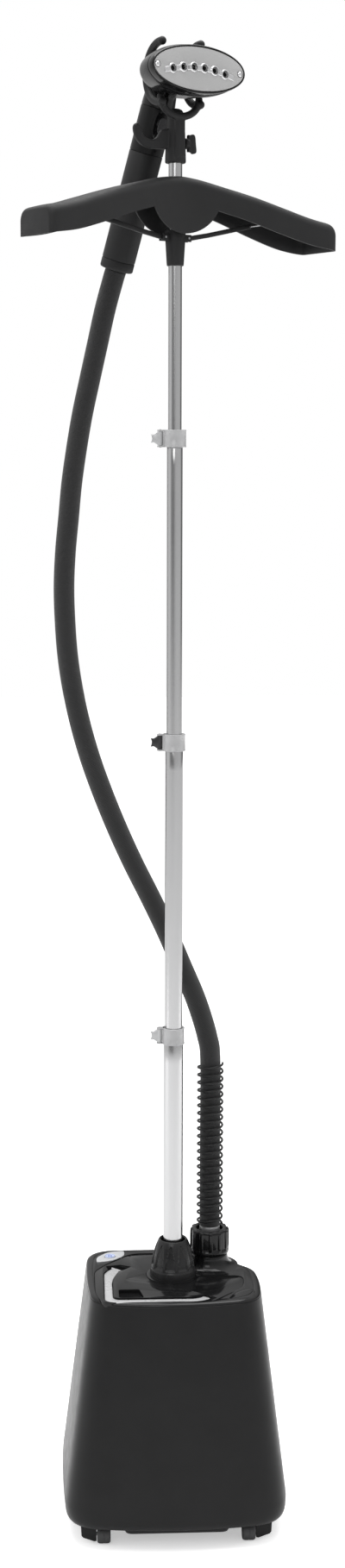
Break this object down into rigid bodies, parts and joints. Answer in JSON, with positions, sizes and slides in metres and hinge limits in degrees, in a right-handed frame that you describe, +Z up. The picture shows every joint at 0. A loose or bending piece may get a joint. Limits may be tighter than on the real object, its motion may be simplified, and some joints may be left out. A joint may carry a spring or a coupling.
{
  "type": "garment steamer",
  "caption": "Free-standing garment steamer: wheeled water base, telescopic pole, shaped hanger, steam hose and a hand-held oval steam head on a hooked holder.",
  "frame": {"origin": "floor level, on the axis of the pole, in the middle of the footprint", "axes": "+Z up the pole, -Y to the front of the base, +X to its right"},
  "size_m": [0.3571, 0.2635, 1.758],
  "materials": {
    "band_grey": "satin",
    "black_gloss": "polished",
    "black_lever": "satin",
    "black_satin": "satin",
    "blue_button": "gloss",
    "board_green": "laminate",
    "boiler_alu": "cast",
    "charcoal": "matte",
    "clear_lever": "clear tint",
    "dark_grey": "matte",
    "hose_braid": "woven",
    "pole_aluminium": "anodised",
    "roller_rubber": "matte",
    "screw_chrome": "polished",
    "silicone": "matte",
    "silver_bail": "satin silver",
    "sole_grey": "satin",
    "spring_black": "blackened",
    "steel": "brushed",
    "tank_smoke": "translucent smoke",
    "white_panel": "gloss"
  },
  "bodies": {
    "base": {"base_pan": "dark_grey", "body_shell": "black_satin", "deck_cover": "black_gloss", "control_leaf": "white_panel", "pole_socket": "dark_grey", "pole_collar": "black_gloss", "tank_dock": "dark_grey", "boiler": "boiler_alu", "heating_element": "steel", "water_pump": "dark_grey", "circuit_board": "board_green", "water_pipe": "silicone", "steam_pipe": "steel", "hose_outlet": "boiler_alu", "hose_spring": "spring_black", "steam_hose": "hose_braid", "cord_gland": "black_satin", "base_screws": "steel", "castor_sockets": "dark_grey", "tube_4": "pole_aluminium", "band_3": "band_grey", "pin_3": "steel"},
    "button": {"power_button": "blue_button"},
    "nut": {"hose_nut": "black_gloss"},
    "tank": {"tank_body": "tank_smoke", "tank_lid": "black_gloss", "tank_cap": "tank_smoke"},
    "tank_handle": {"bail": "silver_bail"},
    "pole_low": {"tube_3": "pole_aluminium", "band_2": "band_grey", "pin_2": "steel"},
    "pole_mid": {"tube_2": "pole_aluminium", "band_1": "band_grey", "pin_1": "steel"},
    "pole_top": {"tube_1": "pole_aluminium", "holder": "charcoal"},
    "clamp_lever_low": {"lever_3": "clear_lever"},
    "clamp_lever_mid": {"lever_2": "black_lever"},
    "clamp_lever_top": {"lever_1": "clear_lever"},
    "thumb": {"thumb_screw": "charcoal"},
    "hanger": {"hanger_shell": "charcoal", "hanger_collar": "charcoal", "strut_left": "charcoal", "strut_right": "charcoal", "strut_pins": "steel"},
    "handset": {"head_shell": "black_gloss", "sole_plate": "sole_grey", "sole_screws": "screw_chrome", "handle_barrel": "black_satin", "handle_grip": "charcoal", "handle_end": "charcoal"},
    "slider": {"steam_slider": "dark_grey"},
    "castor_fl": {"fork_fl": "black_satin"},
    "roller_fl": {"wheel_fl": "roller_rubber"},
    "castor_fr": {"fork_fr": "black_satin"},
    "roller_fr": {"wheel_fr": "roller_rubber"},
    "castor_bl": {"fork_bl": "black_satin"},
    "roller_bl": {"wheel_bl": "roller_rubber"},
    "castor_br": {"fork_br": "black_satin"},
    "roller_br": {"wheel_br": "roller_rubber"}
  },
  "joints": [
    {"name": "tank_lift", "type": "slide", "parent": "base", "child": "tank", "axis": [0, 0, 1], "range_m": [0, 0.2]},
    {"name": "bail_swing", "type": "hinge", "parent": "tank", "child": "tank_handle", "pos_m": [-0.066, 0.022, 0.2965], "axis": [-0.7351, 0.678, 0], "range_deg": [0, 90]},
    {"name": "power_press", "type": "slide", "parent": "base", "child": "button", "axis": [0, 0, -1], "range_m": [0, 0.0015], "stiffness_N_per_m": 400},
    {"name": "nut_turn", "type": "hinge", "parent": "base", "child": "nut", "pos_m": [0.047, 0.03, 0.33], "axis": [0, 0, 1], "continuous": true},
    {"name": "castor_fl_swivel", "type": "hinge", "parent": "base", "child": "castor_fl", "pos_m": [-0.103, -0.0885, 0.03], "axis": [0, 0, 1], "continuous": true},
    {"name": "castor_fl_roll", "type": "hinge", "parent": "castor_fl", "child": "roller_fl", "pos_m": [-0.0874, -0.0955, 0.0115], "axis": [1, 0, 0], "continuous": true},
    {"name": "castor_fr_swivel", "type": "hinge", "parent": "base", "child": "castor_fr", "pos_m": [0.103, -0.0885, 0.03], "axis": [0, 0, 1], "continuous": true},
    {"name": "castor_fr_roll", "type": "hinge", "parent": "castor_fr", "child": "roller_fr", "pos_m": [0.0874, -0.0955, 0.0115], "axis": [1, 0, 0], "continuous": true},
    {"name": "castor_bl_swivel", "type": "hinge", "parent": "base", "child": "castor_bl", "pos_m": [-0.1, 0.079, 0.03], "axis": [0, 0, 1], "continuous": true},
    {"name": "castor_bl_roll", "type": "hinge", "parent": "castor_bl", "child": "roller_bl", "pos_m": [-0.0844, 0.086, 0.0115], "axis": [1, 0, 0], "continuous": true},
    {"name": "castor_br_swivel", "type": "hinge", "parent": "base", "child": "castor_br", "pos_m": [0.084, 0.05, 0.03], "axis": [0, 0, 1], "continuous": true},
    {"name": "castor_br_roll", "type": "hinge", "parent": "castor_br", "child": "roller_br", "pos_m": [0.0684, 0.057, 0.0115], "axis": [1, 0, 0], "continuous": true},
    {"name": "pole_low_slide", "type": "slide", "parent": "base", "child": "pole_low", "axis": [0, 0, 1], "range_m": [-0.28, 0], "deforming": ["steam_hose"]},
    {"name": "pole_mid_slide", "type": "slide", "parent": "pole_low", "child": "pole_mid", "axis": [0, 0, 1], "range_m": [-0.33, 0], "deforming": ["steam_hose"]},
    {"name": "pole_top_slide", "type": "slide", "parent": "pole_mid", "child": "pole_top", "axis": [0, 0, 1], "range_m": [-0.18, 0], "deforming": ["steam_hose"]},
    {"name": "clamp_low_open", "type": "hinge", "parent": "base", "child": "clamp_lever_low", "pos_m": [-0.017, 0, 0.602], "axis": [0, 0, 1], "range_deg": [0, 95]},
    {"name": "clamp_mid_open", "type": "hinge", "parent": "pole_low", "child": "clamp_lever_mid", "pos_m": [-0.017, 0, 0.959], "axis": [0, 0, 1], "range_deg": [0, 95]},
    {"name": "clamp_top_open", "type": "hinge", "parent": "pole_mid", "child": "clamp_lever_top", "pos_m": [-0.017, 0, 1.314], "axis": [0, 0, 1], "range_deg": [0, 95]},
    {"name": "thumb_turn", "type": "hinge", "parent": "pole_top", "child": "thumb", "pos_m": [0.01515, 0.00772, 1.6455], "axis": [0.891, 0.454, 0], "continuous": true},
    {"name": "hanger_turn", "type": "hinge", "parent": "pole_top", "child": "hanger", "pos_m": [0, 0, 1.53], "axis": [0, 0, 1], "range_deg": [-15, 35]},
    {"name": "handset_swing", "type": "hinge", "parent": "pole_top", "child": "handset", "pos_m": [0.00436, -0.00855, 1.7204], "axis": [0.891, 0.454, 0], "range_deg": [0, 10], "deforming": ["steam_hose"]},
    {"name": "steam_slide", "type": "slide", "parent": "handset", "child": "slider", "axis": [0.2737, -0.2078, 0.9391], "range_m": [-0.006, 0.006]}
  ]
}
